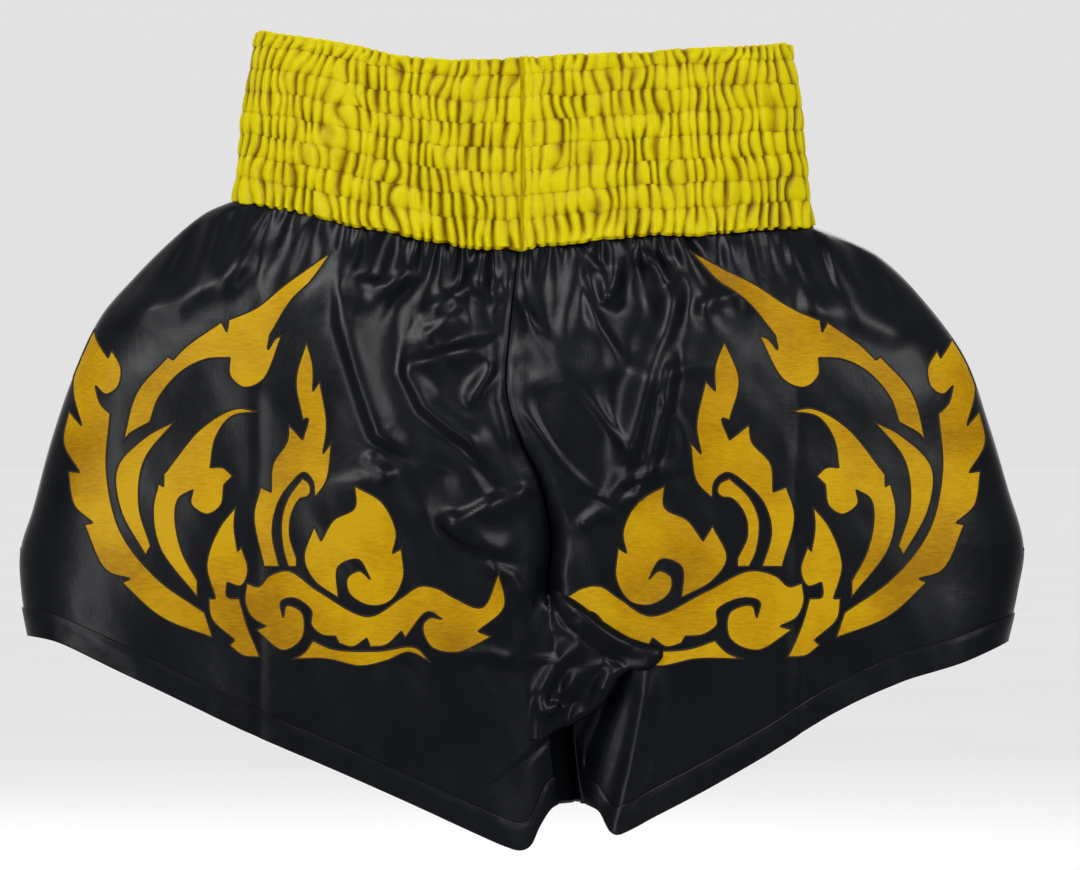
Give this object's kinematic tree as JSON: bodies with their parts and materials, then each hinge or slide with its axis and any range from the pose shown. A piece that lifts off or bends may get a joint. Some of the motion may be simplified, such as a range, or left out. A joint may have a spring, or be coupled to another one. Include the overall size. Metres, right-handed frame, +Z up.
{
  "type": "boxing shorts",
  "caption": "Loose satin boxing shorts with a shirred elastic waistband, side vents, a crotch gusset and flame-scroll applique on each leg, held open at the waist.",
  "frame": {"origin": "middle of the waist opening, half-way up the waistband at the centre front", "axes": "+X towards the wearer's left, -Y towards the front, +Z up through the waist opening"},
  "size_m": [0.5869, 0.1147, 0.4719],
  "materials": {
    "satin_black": "satin weave, soft sheen",
    "satin_yellow": "gathered satin, bright sheen",
    "satin_gold": "brushed satin applique with a dark stitched edge",
    "elastic": "woven elastic, matte",
    "thread": "polyester thread, matte"
  },
  "bodies": {
    "root": {"applique_left_base_leaf": "satin_gold", "applique_left_bud": "satin_gold", "applique_left_crescent": "satin_gold", "applique_left_inner_hook": "satin_gold", "applique_left_outer_leaf": "satin_gold", "applique_left_second_flame": "satin_gold", "applique_left_small_flame": "satin_gold", "applique_left_tall_flame": "satin_gold", "applique_left_upper_arm": "satin_gold", "applique_left_wave": "satin_gold", "applique_right_base_leaf": "satin_gold", "applique_right_bud": "satin_gold", "applique_right_crescent": "satin_gold", "applique_right_inner_hook": "satin_gold", "applique_right_outer_leaf": "satin_gold", "applique_right_second_flame": "satin_gold", "applique_right_small_flame": "satin_gold", "applique_right_tall_flame": "satin_gold", "applique_right_upper_arm": "satin_gold", "applique_right_wave": "satin_gold", "back_hem_left": "satin_black", "back_hem_right": "satin_black", "back_panel_left": "satin_black", "back_panel_right": "satin_black", "crotch_gusset": "satin_black", "elastic_1": "elastic", "elastic_2": "elastic", "elastic_3": "elastic", "elastic_4": "elastic", "elastic_5": "elastic", "elastic_6": "elastic", "front_hem_left": "satin_black", "front_hem_right": "satin_black", "front_panel_left": "satin_black", "front_panel_right": "satin_black", "vent_bar_tack_left": "thread", "vent_bar_tack_right": "thread", "waistband_casing_left": "satin_yellow", "waistband_casing_right": "satin_yellow"}
  },
  "joints": []
}
